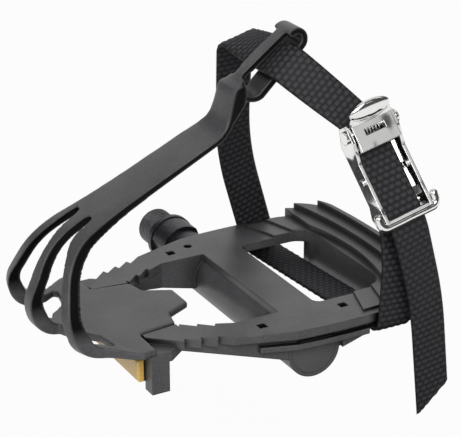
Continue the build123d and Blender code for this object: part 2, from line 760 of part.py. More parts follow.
buckle_frame += across_bar(bar_diameter / 2, bar_y, bar_z, frame_half)
buckle_frame += across_bar(bar_diameter / 2, bar_y + 3.6, back_bar_z, frame_half)
buckle_frame -= across_bar(pin_diameter / 2 + fit_gap, pin_y, pin_z, 2 * frame_half)
rivet_y = base_middle - 2
rivet_z = pin_z / 4
for side in (1, -1):
    rivet_hole = Pos(side * frame_half, rivet_y, rivet_z) * Rot(0, 90, 0)
    buckle_frame -= rivet_hole * Cylinder(rivet_diameter / 2 + fit_gap, 4 * frame_sheet)

# Pivot pin with a head at each end, and the two small rivets
pin_half = frame_half + 0.1
buckle_pin = across_bar(pin_diameter / 2, pin_y, pin_z, pin_half)
buckle_rivet = []
for side in (1, -1):
    head_x = side * (pin_half + pin_head_length / 2)
    buckle_pin += Pos(head_x, pin_y, pin_z) * Rot(0, 90, 0) * Cylinder(pin_head_diameter / 2, pin_head_length)
    rivet_x = side * (cheek_gap + frame_sheet / 2)
    shank = Cylinder(rivet_diameter / 2, frame_sheet + 0.2)
    head = Cylinder(rivet_diameter * 0.9, 0.6)
    head_shift = frame_sheet / 2 + 0.35
    stack = shank + Pos(0, 0, head_shift) * head + Pos(0, 0, -head_shift) * head
    buckle_rivet.append(Pos(rivet_x, rivet_y, rivet_z) * Rot(0, 90, 0) * stack)

# Cam lever: one bent sheet with a rolled edge that grips the strap and a thumb tab,
# on two hubs that turn on the pin
lever_half = cheek_gap - lever_side_gap
hub_radius = pin_diameter / 2 + hub_wall
blade_z = pin_z + hub_radius - 0.3
roll_y = pin_y - roll_reach
roll_z = strap_top + strap_gap + roll_radius
tab_y = pin_y + hub_radius
blade_rear = roll_y - roll_radius + 0.4
blade = Pos((blade_rear + tab_y + 0.4) / 2, blade_z + frame_sheet / 2)
blade *= Rectangle(tab_y + 0.4 - blade_rear, frame_sheet)
blade += Pos(roll_y, roll_z) * Circle(roll_radius)
blade += Pos(blade_rear + frame_sheet / 2, (roll_z + blade_z) / 2) * Rectangle(frame_sheet, blade_z - roll_z + 1)
low_corner = (Align.MIN, Align.MIN)
blade += Pos(tab_y, blade_z) * Rot(0, 0, tab_lift) * Rectangle(lever_half, frame_sheet, align=low_corner)
hub = Pos(pin_y, pin_z) * Circle(hub_radius)
hub += Pos(pin_y, pin_z + hub_radius / 2) * Rectangle(1.6 * hub_radius, hub_radius)
lever_side = Plane(origin=(-lever_half, 0, 0), x_dir=(0, 1, 0), z_dir=(1, 0, 0))
lever_sheet = lever_side * extrude(blade, 2 * lever_half)
tab_plan = Pos(0, tab_y) * Ellipse(lever_half, lever_half * cos(radians(tab_lift)))
tab_plan += Pos(0, tab_y - lever_half) * Rectangle(2 * lever_half, 2 * lever_half)
lever_sheet &= extrude(tab_plan, 4 * lever_half)
lever_sheet -= Pos(0, pin_y - 1, blade_z) * Box(lever_half, 2.2, 4 * frame_sheet)
hub_start = spring_half_length + 0.3
buckle_lever = lever_sheet + cheek_plate(hub, hub_start, lever_half - hub_start)
buckle_lever -= across_bar(pin_diameter / 2 + running_gap, pin_y, pin_z, lever_half + 1)

# Torsion spring on the pin between the lever hubs
spring_sections = []
for k in range(spring_turns * spring_steps + 1):
    angle = 2 * pi * k / spring_steps
    radial = Vector(cos(angle), sin(angle), 0)
    height = k * spring_pitch / spring_steps
    heading = Vector(-sin(angle), cos(angle), spring_pitch / (2 * pi * spring_radius))
    section = Plane(origin=radial * spring_radius + Vector(0, 0, height), x_dir=radial, z_dir=heading)
    spring_sections.append(section * RegularPolygon(spring_wire / 2, 6))
spring_coil = loft(spring_sections, ruled=True)
spring_place = Pos(-spring_turns * spring_pitch / 2, pin_y, pin_z) * Rot(0, 90, 0)
buckle_spring = spring_place * spring_coil

# Strap: one length of webbing, from the buckle's back bar under the body,
# up through the clip's ring, back through the buckle and down to a loose tail
ring_along = Vector(-cos(radians(ring_slope)), 0, sin(radians(ring_slope)))
ring_up = Vector(sin(radians(ring_slope)), 0, cos(radians(ring_slope)))
ring_bed = Vector(ring_x, mid_y, ring_z) + ring_along * strap_in_ring + ring_up * strap_bed
fixed_out = back_bar_z - bar_diameter / 2 - strap_thickness
fixed_end = buckle_centre + buckle_down * (-bar_y - 2) + buckle_out * fixed_out
level = Vector(-1, 0, 0)
twisted = Vector(-0.99, -0.05, 0.05)
folded = Vector(-0.93, 0.15, 0.33)


def place(x, y, z):
    """Point from x, the distance outboard of the middle plane, and z."""
    return Vector(x, mid_y + y, z)


# Each corner: its point, how far back its bend starts, and the way the width runs there
strap_corners = [
    (fixed_end, 0, buckle_across),
    (place(-29.5, run_y + 0.6, 30), 8, level),
    (place(strap_x, run_y, strap_run_z), 4.5, level),
    (place(strap_x, -run_y, strap_run_z - strap_dip), 4.5, level),
    (place(-14.6, 2.5 - run_y, 43), 16, level),
    (place(crest_x, crest_y, crest_z), 5, folded),
    (ring_bed - Vector(0, 7, 0), 3.5, ring_along),
    (ring_bed + Vector(0, 7, 0), 3.5, ring_along),
    (buckle_centre - buckle_down * (pin_y + 2), 5, buckle_across),
    (buckle_centre + buckle_down * 19, 5, buckle_across),
    (place(-38.0, run_y + 5.0, 14), 12, twisted),
    (place(-42.3, run_y + 5.0, tail_z), 0, twisted),
]
bend_steps = 5


def strap_stations(corners):
    """Point, heading and width direction at each station, every corner a rounded bend."""
    stations = []
    for i, (point, cut, width_way) in enumerate(corners):
        if i == 0 or i == len(corners) - 1:
            heading = corners[1][0] - point if i == 0 else point - corners[-2][0]
            stations.append((point, heading.normalized(), width_way))
            continue
        before = (point - corners[i - 1][0]).normalized()
        after = (corners[i + 1][0] - point).normalized()
        start = point - before * cut
        end = point + after * cut
        for k in range(bend_steps + 1):
            t = k / bend_steps
            spot = start * (1 - t) ** 2 + point * (2 * t * (1 - t)) + end * t**2
            heading = (before * (1 - t) + after * t).normalized()
            stations.append((spot, heading, width_way))
    return stations


strap_sections = []
stations = strap_stations(strap_corners)
for spot, heading, width_way in stations[:-1]:
    width_way = (width_way - heading * width_way.dot(heading)).normalized()
    section = Plane(origin=spot, x_dir=width_way, z_dir=heading)
    strap_sections.append(section * Rectangle(strap_width, strap_thickness))

# The loose end is cut on a slant, its front corner lowest
spot, heading, width_way = stations[-1]
width_way = (width_way - heading * width_way.dot(heading)).normalized()
slant = radians(tail_slant)
cut_way = width_way * cos(slant) - heading * sin(slant)
cut_plane = Plane(origin=spot, x_dir=cut_way, z_dir=heading * cos(slant) + width_way * sin(slant))
strap_sections.append(cut_plane * Rectangle(strap_width / cos(slant), strap_thickness))
strap = loft(strap_sections, ruled=True)

nodes = {
    "spindle": spindle,
    "inboard_cup": inboard_cup,
    "outboard_cup": outboard_cup,
    "inboard_balls": Compound(inboard_balls),
    "outboard_balls": Compound(outboard_balls),
    "outboard_cone": outboard_cone,
    "lock_washer": lock_washer,
    "lock_nut": lock_nut,
    "inboard_seal": inboard_seal,
    "dust_cap": dust_cap,
    "pedal_body": pedal_body,
    "toe_clip": toe_clip,
    "clip_screws": Compound(clip_screws),
    "clip_washers": Compound(clip_washers),
    "front_reflector_lens": front_reflector_lens,
    "front_reflector_back": front_reflector_back,
    "rear_reflector_lens": rear_reflector_lens,
    "rear_reflector_back": rear_reflector_back,
    "strap": strap,
    "buckle_frame": buckle_plane * buckle_frame,
    "buckle_lever": buckle_plane * buckle_lever,
    "buckle_pin": buckle_plane * buckle_pin,
    "buckle_spring": buckle_plane * buckle_spring,
    "buckle_rivet": Compound([buckle_plane * rivet for rivet in buckle_rivet]),
}

os.makedirs("parts", exist_ok=True)
for name, shape in nodes.items():
    export_step(shape, f"parts/{name}.step")
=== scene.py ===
import bmesh
import bpy
import numpy as np
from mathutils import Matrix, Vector


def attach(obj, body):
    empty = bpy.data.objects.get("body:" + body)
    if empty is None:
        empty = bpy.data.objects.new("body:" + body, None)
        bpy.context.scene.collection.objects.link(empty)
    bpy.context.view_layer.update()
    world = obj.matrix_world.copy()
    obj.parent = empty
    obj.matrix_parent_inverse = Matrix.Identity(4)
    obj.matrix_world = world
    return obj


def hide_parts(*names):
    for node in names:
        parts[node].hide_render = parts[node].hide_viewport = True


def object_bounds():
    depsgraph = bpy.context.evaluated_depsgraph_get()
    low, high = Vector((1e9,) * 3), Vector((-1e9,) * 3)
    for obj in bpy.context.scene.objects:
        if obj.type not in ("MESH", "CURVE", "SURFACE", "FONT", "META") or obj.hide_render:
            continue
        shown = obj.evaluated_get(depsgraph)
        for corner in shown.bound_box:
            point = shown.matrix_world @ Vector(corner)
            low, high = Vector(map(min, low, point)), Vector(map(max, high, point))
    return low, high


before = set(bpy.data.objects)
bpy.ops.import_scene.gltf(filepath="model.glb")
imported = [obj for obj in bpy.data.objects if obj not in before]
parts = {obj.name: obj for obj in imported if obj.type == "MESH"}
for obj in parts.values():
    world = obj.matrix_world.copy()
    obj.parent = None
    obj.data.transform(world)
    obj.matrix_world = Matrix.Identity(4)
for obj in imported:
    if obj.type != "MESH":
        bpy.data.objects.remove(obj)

cad_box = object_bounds()
mm = 0.001

# Spindle. A forged steel axle, turned with a shoulder and a crank thread and then blackened.
# The oxide leaves a dark, dull metal that shines a little on the thread's crests.
thread_pitch = 1.27 * mm
thread_end = -0.6 * mm
thread_relief = 1.2 * mm
wear_size = 1.5 * mm
wear_share = 0.12


def linear(colour):
    """Linear RGBA of an sRGB hex colour."""
    value = np.array([int(colour[k : k + 2], 16) for k in (1, 3, 5)]) / 255
    value = np.where(value <= 0.04045, value / 12.92, ((value + 0.055) / 1.055) ** 2.4)
    return (*value, 1.0)


def add(tree, kind, values=None, links=None, **settings):
    """One shader node: its settings, the fixed values of its inputs and the sockets that feed them."""
    made = tree.nodes.new(kind)
    for name, value in settings.items():
        setattr(made, name, value)
    for name, value in (values or {}).items():
        made.inputs[name].default_value = value
    for name, source in (links or {}).items():
        tree.links.new(source, made.inputs[name])
    return made


def finish_named(name, **principled):
    """A material with one Principled shader, as material, node tree, shader and Object coordinates."""
    made = bpy.data.materials.new(name)
    made.use_nodes = True
    tree = made.node_tree
    tree.nodes.clear()
    values = {key.replace("_", " "): value for key, value in principled.items()}
    shader = add(tree, "ShaderNodeBsdfPrincipled", values)
    add(tree, "ShaderNodeOutputMaterial", links={"Surface": shader.outputs["BSDF"]})
    place = add(tree, "ShaderNodeTexCoord").outputs["Object"]
    return made, tree, shader, place


def dress(node, material):
    """Gives a CAD node its finish."""
    parts[node].data.materials.clear()
    parts[node].data.materials.append(material)


# The thread's height goes up and down once a pitch along y, and one pitch further each turn
black_oxide, tree, shader, place = finish_named("black_oxide_steel", Metallic=1.0, Roughness=0.42)
axes = add(tree, "ShaderNodeSeparateXYZ", links={"Vector": place}).outputs
turn = add(tree, "ShaderNodeMath", links={0: axes["X"], 1: axes["Z"]}, operation="ARCTAN2")
turns = add(tree, "ShaderNodeMath", {1: 2 * np.pi}, {0: turn.outputs[0]}, operation="DIVIDE")
rise = add(tree, "ShaderNodeMath", {1: thread_pitch}, {0: axes["Y"]}, operation="DIVIDE")
helix = add(tree, "ShaderNodeMath", links={0: rise.outputs[0], 1: turns.outputs[0]}, operation="ADD")
crest = add(tree, "ShaderNodeMath", {1: 0.5}, {0: helix.outputs[0]}, operation="PINGPONG")
on_thread = add(tree, "ShaderNodeMath", {1: thread_end}, {0: axes["Y"]}, operation="LESS_THAN")
both = {0: crest.outputs[0], 1: on_thread.outputs[0]}
groove = add(tree, "ShaderNodeMath", links=both, operation="MULTIPLY")
wear = add(tree, "ShaderNodeTexNoise", {"Scale": 1 / wear_size, "Detail": 4.0}, {"Vector": place})
worn_groove = {0: wear.outputs["Fac"], 2: groove.outputs[0]}
height = add(tree, "ShaderNodeMath", {1: wear_share}, worn_groove, operation="MULTIPLY_ADD")
relief = {"Distance": thread_relief, "Strength": 1.0}
bump = add(tree, "ShaderNodeBump", relief, {"Height": height.outputs[0]})
tones = {"A": linear("#343436"), "B": linear("#626266")}
tone = add(tree, "ShaderNodeMix", tones, {"Factor": wear.outputs["Fac"]}, data_type="RGBA")
tree.links.new(tone.outputs["Result"], shader.inputs["Base Color"])
tree.links.new(bump.outputs["Normal"], shader.inputs["Normal"])
dress("spindle", black_oxide)

# Bearings and fixings. Two rows of balls run between hardened cups and cones, and a keyed washer
# and a nut hold them in the barrel. Screws and washers, put in from below, hold the toe clip.
haze_size = 0.8 * mm
spangle_size = 0.9 * mm

# Ground steel is nearly a mirror, with a faint haze from the grinding wheel
bearing_steel, tree, shader, place = finish_named("ground_bearing_steel", Metallic=1.0, Roughness=0.16)
haze = add(tree, "ShaderNodeTexNoise", {"Scale": 1 / haze_size, "Detail": 3.0}, {"Vector": place})
tones = {"A": linear("#b9babd"), "B": linear("#d6d7d9")}
tone = add(tree, "ShaderNodeMix", tones, {"Factor": haze.outputs["Fac"]}, data_type="RGBA")
tree.links.new(tone.outputs["Result"], shader.inputs["Base Color"])
for node in ("inboard_cup", "outboard_cup", "inboard_balls", "outboard_balls", "outboard_cone"):
    dress(node, bearing_steel)

# Zinc plate is duller and greyer, with crystals that are drawn as coarse as they need to show
zinc_plate, tree, shader, place = finish_named("zinc_plated_steel", Metallic=1.0, Roughness=0.34)
spangle = add(tree, "ShaderNodeTexVoronoi", {"Scale": 1 / spangle_size}, {"Vector": place})
tones = {"A": linear("#a9acae"), "B": linear("#c6c8c9")}
tone = add(tree, "ShaderNodeMix", tones, {"Factor": spangle.outputs["Distance"]}, data_type="RGBA")
tree.links.new(tone.outputs["Result"], shader.inputs["Base Color"])
for node in ("lock_washer", "lock_nut", "clip_screws", "clip_washers"):
    dress(node, zinc_plate)

# Pedal body and dust cap. Both are injection moulded in glass-filled nylon, dyed black, and the
# cap is pressed into the barrel. The tool leaves a fine spark-eroded grain and softly rounded
# edges, so the resin shines like satin; its corners and creases are darkened with painted shade.
grain_size = 0.6 * mm  # the real grain is finer, and this is as coarse as it needs to show
grain_relief = 0.12 * mm
grain_share = 1.1
flow_size = 14 * mm
edge_round = 0.7 * mm
satin = {"To Min": 0.28, "To Max": 0.5}
# Painted shade: where ambient occlusion finds walls within this reach, the colour falls to a dark tone
crease_reach = 10 * mm
crease_range = {"From Min": 0.35, "From Max": 0.92}
painted_crease_shade = "#0c0c0d"
# Painted shade on the clip's side flanks: a dark tone and a lower shine by the flank attribute
painted_flank_shade = "#0b0b0c"
flank_shade_shine = {"To Min": 0.5, "To Max": 0.1}


def moulded_resin(name, dark, light, rounding, shade_attribute=None):
    """Black moulded nylon, between a dark and a light tone by a slow noise plus a share of a fine one.

    The tone falls to a painted crease shade where walls stand close, and the fine noise is also the
    grain.
    Where an attribute is named, the surface is painted darker and duller by it, as painted shade.
    """
    made, tree, shader, place = finish_named(name, IOR=1.52)
    grain = add(tree, "ShaderNodeTexNoise", {"Scale": 1 / grain_size, "Detail": 2.0}, {"Vector": place})
    flow = add(tree, "ShaderNodeTexNoise", {"Scale": 1 / flow_size, "Detail": 5.0}, {"Vector": place})
    speck = add(tree, "ShaderNodeMath", {1: 0.5}, {0: grain.outputs["Fac"]}, operation="SUBTRACT")
    both = {0: speck.outputs[0], 2: flow.outputs["Fac"]}
    mottle = add(tree, "ShaderNodeMath", {1: grain_share}, both, operation="MULTIPLY_ADD")
    tones = {"A": linear(dark), "B": linear(light)}
    tone = add(tree, "ShaderNodeMix", tones, {"Factor": mottle.outputs[0]}, data_type="RGBA")
    # Painted shade in corners and creases, found by ambient occlusion
    crease_shade_mask = add(tree, "ShaderNodeAmbientOcclusion", {"Distance": crease_reach}, samples=8)
    open_share = add(tree, "ShaderNodeMapRange", crease_range, {"Value": crease_shade_mask.outputs["AO"]})
    lit = {"Factor": open_share.outputs["Result"], "B": tone.outputs["Result"]}
    tone = add(tree, "ShaderNodeMix", {"A": linear(painted_crease_shade)}, lit, data_type="RGBA")
    # Painted shade by the named attribute: a darker colour and a lower shine
    if shade_attribute:
        painted_shade_share = add(tree, "ShaderNodeAttribute", attribute_name=shade_attribute).outputs["Fac"]
        shade_mix = {"Factor": painted_shade_share, "A": tone.outputs["Result"]}
        tone = add(tree, "ShaderNodeMix", {"B": linear(painted_flank_shade)}, shade_mix, data_type="RGBA")
        shine = add(tree, "ShaderNodeMapRange", flank_shade_shine, {"Value": painted_shade_share})
        tree.links.new(shine.outputs["Result"], shader.inputs["Specular IOR Level"])
    gloss = add(tree, "ShaderNodeMapRange", satin, {"Value": grain.outputs["Fac"]})
    edges = add(tree, "ShaderNodeBevel", {"Radius": rounding}, samples=6)
    relief = {"Distance": grain_relief, "Strength": 0.6}
    surface = {"Height": grain.outputs["Fac"], "Normal": edges.outputs["Normal"]}
    bump = add(tree, "ShaderNodeBump", relief, surface)
    tree.links.new(tone.outputs["Result"], shader.inputs["Base Color"])
    tree.links.new(gloss.outputs["Result"], shader.inputs["Roughness"])
    tree.links.new(bump.outputs["Normal"], shader.inputs["Normal"])
    return made


body_resin = moulded_resin("moulded_black_nylon", "#38383a", "#646466", edge_round)
dress("pedal_body", body_resin)
dress("dust_cap", body_resin)

# Toe clip. One flexible moulding of unfilled black nylon, screwed down under its tongue. Its
# bars and band are rounded all along, each with a soft line of light beside a sunk flank darkened by
# painted shade.
weld = 0.001 * mm
clip_detail = 8
clip_passes = 8
knob_centre = np.array([11.5, 65.0, 80.0])
knob_reach = 13.0
knob_weight = 1.5
knob_passes = 140
channel_depth = 0.7
flank_start = 0.35
flank_span = 0.35
flank_passes = 2
foot_height = 14.0
foot_fade = 6.0


def evened(node, detail):
    """A CAD node's triangles, joined and cut into even small faces that keep its edges."""
    joined = bmesh.new()
    joined.from_mesh(parts[node].data)
    bmesh.ops.remove_doubles(joined, verts=joined.verts, dist=weld)
    source = bpy.data.meshes.new("source")
    joined.to_mesh(source)
    joined.free()
    draft = bpy.data.objects.new("draft", source)
    bpy.context.scene.collection.objects.link(draft)
    even = draft.modifiers.new("even_faces", "REMESH")
    even.mode = "SHARP"
    even.octree_depth = detail
    even.scale = 0.99
    even.use_remove_disconnected = False
    mesh = bpy.data.meshes.new_from_object(draft.evaluated_get(bpy.context.evaluated_depsgraph_get()))
    bpy.data.objects.remove(draft)
    return mesh


def smoothed(points, edges, passes, weight):
    """Points after a number of passes that each move them half way to the mean of their neighbours.

    The weight of a point, from 0 to 1, scales its move.
    """
    ends = np.concatenate([edges[:, 0], edges[:, 1]])
    others = np.concatenate([edges[:, 1], edges[:, 0]])
    count = np.bincount(ends, minlength=len(points))[:, None]
    for _ in range(passes):
        total = np.stack([np.bincount(ends, points[others, k], len(points)) for k in range(3)], axis=-1)
        points = points + 0.5 * weight * (total / count - points)
    return points


def rounded_clip(node, name):
    """A copy of the clip's CAD node, smoothed all over and then most of all around its knob.

    A point then sinks along its normal by the channel's depth times its flank. The flank is the
    smooth step of how far the normal turns to the side, and it fades out at the clip's foot. It is
    kept as an attribute, by which the clip's finish paints shade on the flanks.
    """
    mesh = evened(node, clip_detail)
    mesh.name = name
    points = np.empty(3 * len(mesh.vertices))
    mesh.vertices.foreach_get("co", points)
    points = points.reshape(-1, 3)
    edges = np.empty(2 * len(mesh.edges), dtype=np.int32)
    mesh.edges.foreach_get("vertices", edges)
    edges = edges.reshape(-1, 2)
    points = smoothed(points, edges, clip_passes, 1.0)
    away = np.linalg.norm(points / mm - knob_centre, axis=1) / knob_reach
    near_knob = np.clip(knob_weight - knob_weight * away, 0, 1)[:, None]
    points = smoothed(points, edges, knob_passes, near_knob)
    mesh.vertices.foreach_set("co", points.ravel())
    mesh.polygons.foreach_set("use_smooth", np.ones(len(mesh.polygons), dtype=bool))
    mesh.materials.clear()
    mesh.update()
    facing = np.empty(3 * len(points))
    mesh.vertices.foreach_get("normal", facing)
    facing = facing.reshape(-1, 3)
    flank = np.clip((np.abs(facing[:, 1]) - flank_start) / flank_span, 0, 1)
    flank = (flank * flank * (3 - 2 * flank))[:, None] * np.ones(3)
    flank = smoothed(flank, edges, flank_passes, 1.0)[:, 0]
    flank *= np.clip((points[:, 2] / mm - foot_height) / foot_fade, 0, 1)
    points -= facing * (channel_depth * mm * flank)[:, None]
    mesh.vertices.foreach_set("co", points.ravel())
    mesh.update()
    shade = mesh.attributes.new("flank", "FLOAT", "POINT")
    shade.data.foreach_set("value", flank.astype(np.float32))
    made = bpy.data.objects.new(name, mesh)
    bpy.context.scene.collection.objects.link(made)
    return made


clip = rounded_clip("toe_clip", "moulded_toe_clip")
# The clip's finish paints shade on its side flanks by the flank attribute
clip_resin = moulded_resin("moulded_unfilled_nylon", "#38383a", "#606062", edge_round, "flank")
clip.data.materials.append(clip_resin)
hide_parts("toe_clip")
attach(clip, "pedal_group")

# Inboard seal. A soft ring of black rubber, moulded and pressed into the barrel's mouth.
# Rubber is dull, with a faint grey bloom.
bloom_size = 1.2 * mm
seal_rubber, tree, shader, place = finish_named("seal_rubber", Roughness=0.7, IOR=1.5)
bloom = add(tree, "ShaderNodeTexNoise", {"Scale": 1 / bloom_size, "Detail": 4.0}, {"Vector": place})
tones = {"A": linear("#1c1c1d"), "B": linear("#29292a")}
tone = add(tree, "ShaderNodeMix", tones, {"Factor": bloom.outputs["Fac"]}, data_type="RGBA")
tree.links.new(tone.outputs["Result"], shader.inputs["Base Color"])
dress("inboard_seal", seal_rubber)

# Reflectors. Amber acrylic lenses, moulded with rows of tiny cube corners on the back, each
# glued into a black tray. The prisms' glints are painted as small bright and dark cells, and the amber is
# painted paler than the acrylic, standing in for the glow it returns.
prism_size = 1.6 * mm
prism_relief = 0.3 * mm
tray_edge = 0.3 * mm
amber, tree, shader, place = finish_named("amber_acrylic", Roughness=0.15, IOR=1.49)
even_cells = {"Scale": 1 / prism_size, "Randomness": 0.0}
cells = add(tree, "ShaderNodeTexVoronoi", even_cells, {"Vector": place})
# Painted light: tones paler than the acrylic for its glow, palest at each cell's centre as a painted
# glint
tones = {"A": linear("#ffdf8e"), "B": linear("#f0b848")}
tone = add(tree, "ShaderNodeMix", tones, {"Factor": cells.outputs["Distance"]}, data_type="RGBA")
relief = {"Distance": prism_relief, "Strength": 0.5}
bump = add(tree, "ShaderNodeBump", relief, {"Height": cells.outputs["Distance"]})
tree.links.new(tone.outputs["Result"], shader.inputs["Base Color"])
tree.links.new(bump.outputs["Normal"], shader.inputs["Normal"])
dress("front_reflector_lens", amber)
dress("rear_reflector_lens", amber)

# The tray's resin is the body's, but darker and with sharper edges
tray_resin = moulded_resin("moulded_black_tray", "#232324", "#2b2b2c", tray_edge)
dress("front_reflector_back", tray_resin)
dress("rear_reflector_back", tray_resin)

# Strap. One length of black polyamide webbing, woven 14 mm wide, that runs from the buckle's
# back bar under the body, up through the clip's ring, through the buckle and down to a loose
# tail cut on a slant. The weave shows as staggered rows of oblong knuckles, 2 mm apart.
strap_half_width = 7.0
strap_half_thickness = 0.8
rim_power = 10
row_pitch = 2.1
knuckle_pitch = 2.6
knuckle_rise = 0.35
knuckle_length_power = 0.8
knuckle_width_power = 0.6
tail_slant = np.tan(np.radians(33.0))
slant_length = 40.0
tail_overrun = 12.0
heading_reach = 0.2
step_across = 0.45
step_along = 0.3
fibre_size = 0.3 * mm  # real filaments are finer, and these are as coarse as they need to show
fibre_relief = 0.1 * mm
# Corners in millimetres: x, y, z, how far back the bend starts, and the way the width runs
strap_route = np.array(
    [
        [-29.57, 109.22, 44.45, 0.0, -0.976, -0.018, 0.219],
        [-29.5, 113.3, 30.0, 8.0, -1.0, 0.0, 0.0],
        [-28.5, 112.7, 3.6, 4.5, -1.0, 0.0, 0.0],
        [-28.5, 20.9, -2.0, 4.5, -1.0, 0.0, 0.0],
        [-14.6, 23.4, 43.0, 16.0, -1.0, 0.0, 0.0],
        [-8.6, 36.3, 90.0, 5.0, -0.93, 0.15, 0.33],
        [-6.98, 59.8, 91.36, 3.5, -0.749, 0.0, 0.663],
        [-6.98, 73.8, 91.36, 3.5, -0.749, 0.0, 0.663],
        [-22.67, 97.92, 74.25, 5.0, -0.976, -0.018, 0.219],
        [-29.93, 117.21, 43.52, 5.0, -0.976, -0.018, 0.219],
        [-38.0, 117.7, 14.0, 12.0, -0.99, -0.05, 0.05],
        [-42.3, 117.7, -24.5, 0.0, -0.99, -0.05, 0.05],
    ]
)


def unit(vectors):
    """Vectors scaled to length one along their last axis."""
    return vectors / np.linalg.norm(vectors, axis=-1, keepdims=True)


def route_lines(route, samples=16):
    """Points and width directions down a route whose corners are quadratic curves.

    At a corner c that is entered along a and left along b, the curve is
    (1-t)^2 (c - cut a) + 2t(1-t) c + t^2 (c + cut b), with the corner's own width direction.
    """
    corner, cut, way = route[:, :3], route[1:-1, 3, None, None], route[:, 4:]
    run = unit(np.diff(corner, axis=0))
    t = np.linspace(0, 1, samples)[None, :, None]
    middle = corner[1:-1, None, :]
    start = middle - cut * run[:-1, None, :]
    end = middle + cut * run[1:, None, :]
    bends = (1 - t) ** 2 * start + 2 * t * (1 - t) * middle + t**2 * end
    ways = np.broadcast_to(way[1:-1, None, :], bends.shape)
    points = np.concatenate([corner[:1], bends.reshape(-1, 3), corner[-1:]])
    return points, np.concatenate([way[:1], ways.reshape(-1, 3), way[-1:]])


def lengths_along(points):
    """The length of a line of points from its start to each of them."""
    return np.concatenate([[0], np.cumsum(np.linalg.norm(np.diff(points, axis=0), axis=1))])


def at_length(length, known, values):
    """Values given at known lengths, read at an array of other lengths."""
    return np.stack([np.interp(length, known, column) for column in values.T], axis=-1)


def heading_at(length, known, points, reach):
    """The unit direction of a line of points, from a reach before each length to a reach after it."""
    return unit(at_length(length + reach, known, points) - at_length(length - reach, known, points))


def closed_surface(name, grid, **values):
    """An object on a grid of points in millimetres whose second direction closes to a loop.

    Points that meet at the ends are joined, faces are turned outwards, and the values are kept
    on the points as attributes.
    """
    rows, columns = grid.shape[:2]
    index = np.arange(rows * columns).reshape(rows, columns)
    index = np.concatenate([index, index[:, :1]], axis=1)
    corners = [index[:-1, :-1], index[:-1, 1:], index[1:, 1:], index[1:, :-1]]
    quads = np.stack(corners, axis=-1).reshape(-1, 4)
    mesh = bpy.data.meshes.new(name)
    mesh.from_pydata(grid.reshape(-1, 3) * mm, [], quads.tolist())
    for key, value in values.items():
        kept = mesh.attributes.new(key, "FLOAT", "POINT")
        kept.data.foreach_set("value", np.ascontiguousarray(value, dtype=np.float32).ravel())
    joined = bmesh.new()
    joined.from_mesh(mesh)
    bmesh.ops.remove_doubles(joined, verts=joined.verts, dist=weld)
    bmesh.ops.recalc_face_normals(joined, faces=joined.faces)
    joined.to_mesh(mesh)
    joined.free()
    mesh.polygons.foreach_set("use_smooth", np.ones(len(mesh.polygons), dtype=bool))
    mesh.update()
    made = bpy.data.objects.new(name, mesh)
    bpy.context.scene.collection.objects.link(made)
    return made


# The route runs on past the tail's tip, so that the slant has a line to follow there
points, ways = route_lines(strap_route)
overrun = points[-1] + tail_overrun * unit(points[-1] - points[-2])
points = np.concatenate([points, overrun[None]])
ways = np.concatenate([ways, ways[-1:]])
known = lengths_along(points)
strap_length = known[-2]

# Across the strap the loop runs over the face and back along the underside. At length s and
# place w, from -1 to 1, the surface is the route's point, plus w half widths along the width's
# way, plus the thickness along the face's way. The thickness closes to zero at the rims and ends,
# and swells with each knuckle by |sin(pi row)|^0.8 |sin(pi column)|^0.6, odd rows half a step over.
across = np.linspace(-1, 1, int(2 * strap_half_width / step_across) + 1)
loop = np.concatenate([across, across[-2:0:-1]])
side = np.concatenate([np.ones(len(across)), -np.ones(len(across) - 2)])
along = np.linspace(0, strap_length, int(strap_length / step_along))
near_tip = np.clip((along - strap_length + slant_length) / slant_length, 0, 1)[:, None]
length = along[:, None] - near_tip * loop * strap_half_width * tail_slant
centre = at_length(length, known, points)
heading = heading_at(length, known, points, heading_reach)
width_way = at_length(length, known, ways)
width_way = unit(width_way - heading * np.sum(width_way * heading, axis=-1, keepdims=True))
face_way = np.cross(heading, width_way)
row = length / row_pitch
column = loop * strap_half_width / knuckle_pitch + 0.5 * (np.floor(row) % 2)
knuckle = np.abs(np.sin(np.pi * row)) ** knuckle_length_power
knuckle = knuckle * np.abs(np.sin(np.pi * column)) ** knuckle_width_power
full = np.sqrt(np.clip(1 - np.abs(loop) ** rim_power, 0, 1)) * np.ones_like(knuckle)
full[[0, -1]] = 0
thick = side * full * (strap_half_thickness + knuckle_rise * (knuckle - 0.5))
grid = centre + width_way * (loop * strap_half_width)[None, :, None] + face_way * thick[..., None]
strap = closed_surface("woven_strap", grid, knuckle=knuckle * full)

# Woven filaments: the colour is painted lighter on the knuckles as their sheen, and dark between them and
# at the rims as shade
webbing, tree, shader, place = finish_named(
    "woven_black_polyamide", Roughness=0.6, IOR=1.53, Specular_IOR_Level=0.3
)
painted_knuckle_light = add(tree, "ShaderNodeAttribute", attribute_name="knuckle").outputs["Fac"]
fibre = add(tree, "ShaderNodeTexNoise", {"Scale": 1 / fibre_size, "Detail": 3.0}, {"Vector": place})
# Painted light and shade: lighter on the knuckles, dark in the gaps and at the rims
tones = {"A": linear("#050506"), "B": linear("#404044")}
tone = add(tree, "ShaderNodeMix", tones, {"Factor": painted_knuckle_light}, data_type="RGBA")
relief = {"Distance": fibre_relief, "Strength": 0.5}
bump = add(tree, "ShaderNodeBump", relief, {"Height": fibre.outputs["Fac"]})
tree.links.new(tone.outputs["Result"], shader.inputs["Base Color"])
tree.links.new(bump.outputs["Normal"], shader.inputs["Normal"])
strap.data.materials.append(webbing)
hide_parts("strap")
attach(strap, "pedal_group")

